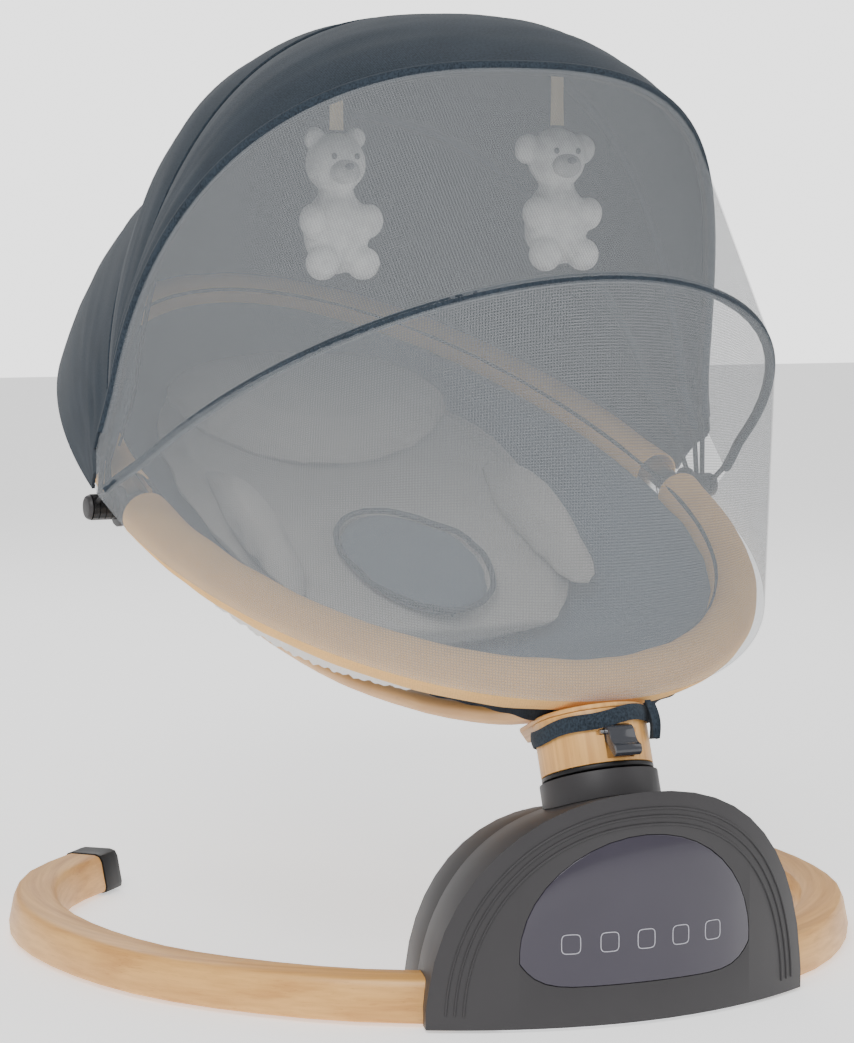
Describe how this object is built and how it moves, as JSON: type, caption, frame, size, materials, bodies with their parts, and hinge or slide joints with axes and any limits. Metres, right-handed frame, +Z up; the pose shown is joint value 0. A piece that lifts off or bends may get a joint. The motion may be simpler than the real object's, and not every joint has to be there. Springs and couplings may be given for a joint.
{
  "type": "baby swing",
  "caption": "Electric baby swing: oval padded seat on a back-leaning swing post over a C-shaped wood-look base, with folding canopy, insect net, touch panel and toys.",
  "frame": {"origin": "on the floor, under the middle of the object's box", "axes": "+Z up, -Y to the front, where the control housing is, +X to the sitter's left"},
  "size_m": [0.591, 0.7546, 0.641],
  "materials": {
    "oak": "oak-look foil, satin, fine grain",
    "housing_plastic": "fine textured moulding",
    "black_plastic": "matt black",
    "gloss_plastic": "polished dark grey",
    "panel_glass": "smoked glossy panel",
    "steel": "plated",
    "brass": "machined",
    "circuit_board": "solder mask",
    "rubber": "matt",
    "canopy_fabric": "slate heather weave",
    "rim_fabric": "beige woven sleeve",
    "liner_fabric": "blue-grey weave",
    "insert_fabric": "light grey brushed cotton",
    "net_fabric": "fine see-through net",
    "plush": "white short pile",
    "ribbon": "beige tape"
  },
  "bodies": {
    "base": {"base_tube_left": "oak", "base_tube_right": "oak", "end_cap_left": "black_plastic", "end_cap_right": "black_plastic", "arm_foot_left": "rubber", "arm_foot_right": "rubber", "housing_front": "housing_plastic", "housing_rear": "housing_plastic", "touch_panel": "panel_glass", "base_plate": "steel", "housing_foot_1": "rubber", "housing_foot_2": "rubber", "housing_foot_3": "rubber", "housing_foot_4": "rubber", "control_board": "circuit_board", "speaker": "black_plastic", "power_inlet": "black_plastic", "neck_cowl": "housing_plastic", "bearing_carrier": "black_plastic", "bearing_upper": "steel", "bearing_lower": "steel", "gearbox": "black_plastic", "drive_motor": "steel"},
    "post": {"swing_post": "steel", "post_ring": "black_plastic", "drive_gear": "steel"},
    "pinion": {"pinion_gear": "brass"},
    "seat": {"stem_collar": "oak", "stem_platform": "oak", "stem_strap": "canopy_fabric", "lever_pin": "steel", "rim_tube_front": "steel", "rim_sleeve_front": "rim_fabric", "rim_tube_rear": "steel", "rim_sleeve_rear": "rim_fabric", "seat_bowl": "liner_fabric", "seat_insert": "insert_fabric", "head_pillow": "insert_fabric", "side_wing_left": "insert_fabric", "side_wing_right": "insert_fabric", "waist_pad": "liner_fabric", "seat_spine": "oak", "canopy_pivot_left": "housing_plastic", "canopy_pivot_right": "housing_plastic"},
    "lever": {"release_lever": "gloss_plastic"},
    "latch": {"latch_bolt": "steel"},
    "bow_rear": {"rear_bow": "black_plastic", "canopy_rear": "canopy_fabric"},
    "bow_mid": {"mid_bow": "black_plastic", "canopy_mid": "canopy_fabric"},
    "bow_front": {"front_bow": "black_plastic", "canopy_front": "canopy_fabric"},
    "bow_net": {"net_bow": "black_plastic", "net_upper": "net_fabric", "net_lower": "net_fabric"},
    "toy_hung_left": {"toy_left": "plush", "toy_ribbon_left": "ribbon"},
    "toy_hung_right": {"toy_right": "plush", "toy_ribbon_right": "ribbon"}
  },
  "joints": [
    {"name": "swing", "type": "hinge", "parent": "base", "child": "post", "pos_m": [0, -0.31229, 0.145], "axis": [0, 0.342, 0.9397], "range_deg": [-15, 15]},
    {"name": "pinion_spin", "type": "hinge", "parent": "base", "child": "pinion", "pos_m": [0, -0.27846, 0.13269], "axis": [0, 0.342, 0.9397], "range_deg": [-46, 46]},
    {"name": "seat_lift", "type": "slide", "parent": "post", "child": "seat", "axis": [0, 0.342, 0.9397], "range_m": [0, 0.06]},
    {"name": "release_lever_press", "type": "hinge", "parent": "seat", "child": "lever", "pos_m": [0, -0.33644, 0.17805], "axis": [-1, 0, 0], "range_deg": [0, 20], "stiffness_Nm_per_rad": 0.4, "springref_deg": -8.59},
    {"name": "latch_draw", "type": "slide", "parent": "seat", "child": "latch", "axis": [0, -0.9397, 0.342], "range_m": [0, 0.0025]},
    {"name": "canopy_fold", "type": "hinge", "parent": "seat", "child": "bow_rear", "pos_m": [0, -0.03129, 0.304], "axis": [-1, 0, 0], "range_deg": [0, 27], "deforming": ["canopy_rear"]},
    {"name": "mid_fold", "type": "hinge", "parent": "bow_rear", "child": "bow_mid", "pos_m": [0, -0.03129, 0.304], "axis": [-1, 0, 0], "range_deg": [0, 20], "deforming": ["canopy_mid"]},
    {"name": "front_fold", "type": "hinge", "parent": "bow_mid", "child": "bow_front", "pos_m": [0, -0.03129, 0.304], "axis": [-1, 0, 0], "range_deg": [0, 14], "deforming": ["canopy_front"]},
    {"name": "net_fold", "type": "hinge", "parent": "bow_front", "child": "bow_net", "pos_m": [0, -0.03129, 0.304], "axis": [-1, 0, 0], "range_deg": [0, 26], "deforming": ["net_upper", "net_lower"]},
    {"name": "toy_left_swing", "type": "hinge", "parent": "bow_mid", "child": "toy_hung_left", "pos_m": [0.095, -0.06729, 0.612], "axis": [1, 0, 0], "range_deg": [-12, 12]},
    {"name": "toy_right_swing", "type": "hinge", "parent": "bow_mid", "child": "toy_hung_right", "pos_m": [-0.075, -0.06729, 0.612], "axis": [1, 0, 0], "range_deg": [-12, 12]}
  ],
  "couplings": [
    {"joint": "pinion_spin", "follows": "swing", "ratio": -3},
    {"joint": "latch_draw", "follows": "release_lever_press", "m_per_rad": 0.007},
    {"joint": "mid_fold", "follows": "canopy_fold", "ratio": 0.7387},
    {"joint": "front_fold", "follows": "canopy_fold", "ratio": 0.5165}
  ]
}
